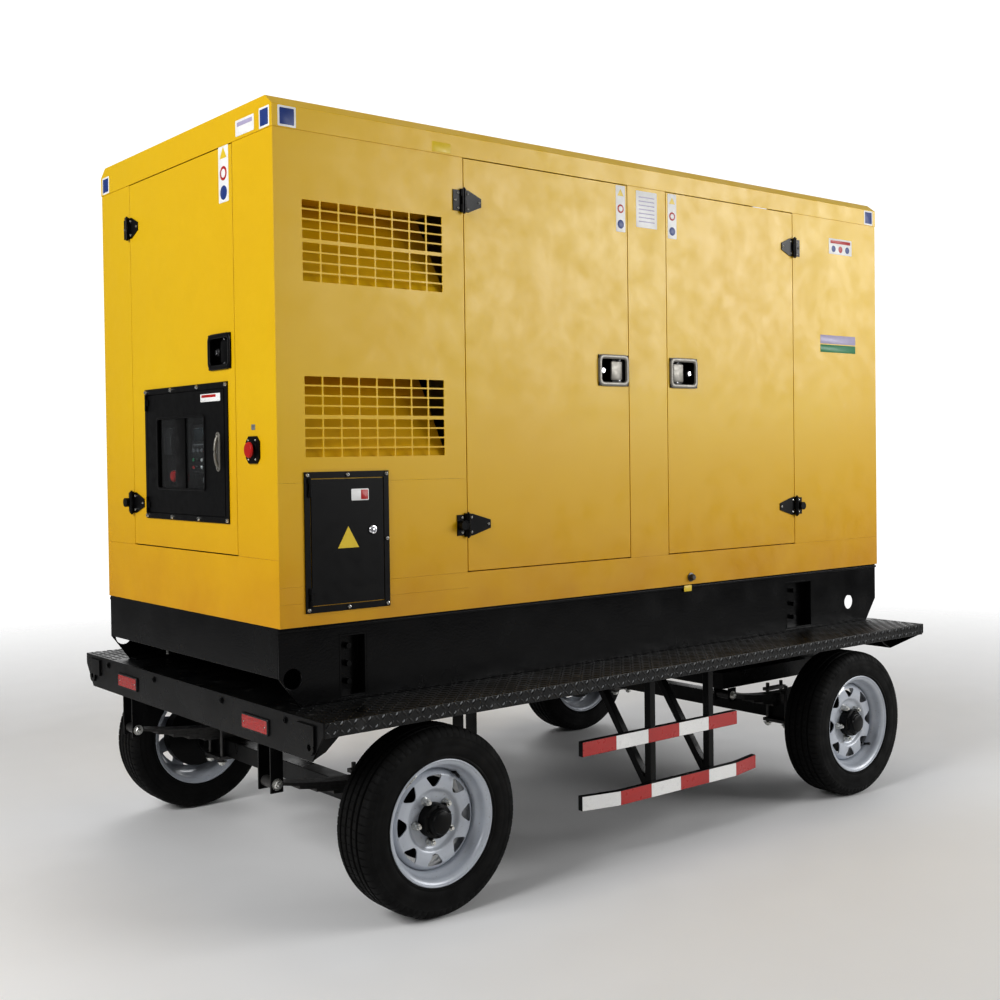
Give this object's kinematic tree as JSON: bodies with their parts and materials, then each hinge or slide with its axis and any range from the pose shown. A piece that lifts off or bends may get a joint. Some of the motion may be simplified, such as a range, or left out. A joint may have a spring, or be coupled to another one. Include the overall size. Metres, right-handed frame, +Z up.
{
  "type": "towable diesel generator",
  "caption": "Sheet-steel generator canopy with hinged service doors and louvred vents, on a four-wheel trailer with a steered front bogie and folding drawbar.",
  "frame": {"origin": "centre of the whole object's outline on the ground, with the drawbar folded up", "axes": "+X to the towing end, +Y to the far long side, +Z up; the control door is at the -X end"},
  "size_m": [2.9989, 1.676, 2.324],
  "materials": {
    "canopy_paint": "fine orange-peel powder coat",
    "black_paint": "gloss enamel",
    "black_fittings": "semi-gloss powder coat",
    "latch_grey": "satin",
    "stripe_paint": "retroreflective bands",
    "red_reflector": "moulded reflector",
    "window_glass": "clear",
    "black_plastic": "moulded",
    "red_plastic": "moulded",
    "engine_paint": "satin enamel on castings",
    "radiator_alloy": "satin black",
    "alternator_alloy": "satin",
    "exhaust_iron": "heat stained",
    "cabinet_paint": "fine texture",
    "forged_steel": "oiled forging",
    "tyre_rubber": "ribbed road tread",
    "wheel_paint": "white enamel"
  },
  "bodies": {
    "trailer": {"deck_plate": "black_paint", "chassis_frame": "black_paint", "end_beams": "black_paint", "rear_reflectors": "red_reflector", "guard_frames": "black_paint", "guard_rails": "stripe_paint", "rear_springs": "black_paint", "rear_hangers": "black_paint", "rear_axle": "black_paint", "turntable_ring": "black_paint", "base_skid": "black_paint", "base_brackets": "black_paint", "near_side_panel": "canopy_paint", "far_side_panel": "canopy_paint", "rear_panel": "canopy_paint", "front_panel": "canopy_paint", "roof": "canopy_paint", "hinge_leaves": "black_fittings", "engine": "engine_paint", "radiator": "radiator_alloy", "alternator": "alternator_alloy", "exhaust": "exhaust_iron", "battery": "black_plastic", "control_cabinet": "cabinet_paint", "terminal_frame": "black_paint", "estop_plate": "black_plastic"},
    "bogie": {"bogie_frame": "black_paint", "front_springs": "black_paint", "front_axle": "black_paint"},
    "drawbar": {"drawbar": "black_paint", "tow_eye": "forged_steel"},
    "rear_near_wheel": {"rear_near_tyre": "tyre_rubber", "rear_near_wheel": "wheel_paint"},
    "rear_far_wheel": {"rear_far_tyre": "tyre_rubber", "rear_far_wheel": "wheel_paint"},
    "front_near_wheel": {"front_near_tyre": "tyre_rubber", "front_near_wheel": "wheel_paint"},
    "front_far_wheel": {"front_far_tyre": "tyre_rubber", "front_far_wheel": "wheel_paint"},
    "near_rear_door": {"near_rear_door": "canopy_paint", "near_rear_door_fittings": "black_fittings"},
    "near_front_door": {"near_front_door": "canopy_paint", "near_front_door_fittings": "black_fittings"},
    "far_rear_door": {"far_rear_door": "canopy_paint", "far_rear_door_fittings": "black_fittings"},
    "far_front_door": {"far_front_door": "canopy_paint", "far_front_door_fittings": "black_fittings"},
    "rear_door": {"rear_door": "canopy_paint", "rear_door_fittings": "black_fittings", "window_frame": "black_paint"},
    "near_rear_paddle": {"near_rear_paddle": "latch_grey"},
    "near_front_paddle": {"near_front_paddle": "latch_grey"},
    "far_rear_paddle": {"far_rear_paddle": "latch_grey"},
    "far_front_paddle": {"far_front_paddle": "latch_grey"},
    "rear_paddle": {"rear_paddle": "black_fittings"},
    "window_door": {"window_door": "black_paint", "window_glass": "window_glass"},
    "terminal_door": {"terminal_door": "black_paint"},
    "estop_button": {"estop_button": "red_plastic"},
    "fan": {"fan": "black_plastic"}
  },
  "joints": [
    {"name": "steer", "type": "hinge", "parent": "trailer", "child": "bogie", "pos_m": [0.8785, 0, 0.478], "axis": [0, 0, 1], "range_deg": [-20, 20]},
    {"name": "drawbar_fold", "type": "hinge", "parent": "bogie", "child": "drawbar", "pos_m": [1.4705, 0, 0.44], "axis": [0, 1, 0], "range_deg": [0, 95]},
    {"name": "rear_near_spin", "type": "hinge", "parent": "trailer", "child": "rear_near_wheel", "pos_m": [-1.0925, -0.759, 0.272], "axis": [0, 1, 0], "continuous": true},
    {"name": "front_near_spin", "type": "hinge", "parent": "bogie", "child": "front_near_wheel", "pos_m": [0.8785, -0.759, 0.272], "axis": [0, 1, 0], "continuous": true},
    {"name": "rear_far_spin", "type": "hinge", "parent": "trailer", "child": "rear_far_wheel", "pos_m": [-1.0925, 0.759, 0.272], "axis": [0, 1, 0], "continuous": true},
    {"name": "front_far_spin", "type": "hinge", "parent": "bogie", "child": "front_far_wheel", "pos_m": [0.8785, 0.759, 0.272], "axis": [0, 1, 0], "continuous": true},
    {"name": "near_rear_door_hinge", "type": "hinge", "parent": "trailer", "child": "near_rear_door", "pos_m": [-0.8125, -0.609, 1.597], "axis": [0, 0, -1], "range_deg": [0, 110]},
    {"name": "near_front_door_hinge", "type": "hinge", "parent": "trailer", "child": "near_front_door", "pos_m": [0.8085, -0.609, 1.597], "axis": [0, 0, 1], "range_deg": [0, 110]},
    {"name": "near_rear_latch", "type": "hinge", "parent": "near_rear_door", "child": "near_rear_paddle", "pos_m": [-0.1205, -0.594, 1.594], "axis": [0, 0, 1], "range_deg": [0, 40]},
    {"name": "near_front_latch", "type": "hinge", "parent": "near_front_door", "child": "near_front_paddle", "pos_m": [0.1265, -0.594, 1.594], "axis": [0, 0, -1], "range_deg": [0, 40]},
    {"name": "far_rear_door_hinge", "type": "hinge", "parent": "trailer", "child": "far_rear_door", "pos_m": [-0.8125, 0.609, 1.597], "axis": [0, 0, 1], "range_deg": [0, 110]},
    {"name": "far_front_door_hinge", "type": "hinge", "parent": "trailer", "child": "far_front_door", "pos_m": [0.8085, 0.609, 1.597], "axis": [0, 0, -1], "range_deg": [0, 110]},
    {"name": "far_rear_latch", "type": "hinge", "parent": "far_rear_door", "child": "far_rear_paddle", "pos_m": [-0.1205, 0.594, 1.594], "axis": [0, 0, -1], "range_deg": [0, 40]},
    {"name": "far_front_latch", "type": "hinge", "parent": "far_front_door", "child": "far_front_paddle", "pos_m": [0.1265, 0.594, 1.594], "axis": [0, 0, 1], "range_deg": [0, 40]},
    {"name": "rear_door_hinge", "type": "hinge", "parent": "trailer", "child": "rear_door", "pos_m": [-1.4845, 0.372, 1.63], "axis": [0, 0, -1], "range_deg": [0, 110]},
    {"name": "rear_latch", "type": "hinge", "parent": "rear_door", "child": "rear_paddle", "pos_m": [-1.4695, -0.321, 1.631], "axis": [0, 0, 1], "range_deg": [0, 40]},
    {"name": "window_hinge", "type": "hinge", "parent": "rear_door", "child": "window_door", "pos_m": [-1.4835, 0.248, 1.33], "axis": [0, 0, -1], "range_deg": [0, 95]},
    {"name": "terminal_hinge", "type": "hinge", "parent": "trailer", "child": "terminal_door", "pos_m": [-1.3765, -0.608, 1.072], "axis": [0, 0, -1], "range_deg": [0, 110]},
    {"name": "estop_press", "type": "slide", "parent": "trailer", "child": "estop_button", "axis": [1, 0, 0], "range_m": [0, 0.006], "stiffness_N_per_m": 1500},
    {"name": "fan_spin", "type": "hinge", "parent": "trailer", "child": "fan", "pos_m": [0.8155, 0, 1.24], "axis": [1, 0, 0], "continuous": true}
  ]
}
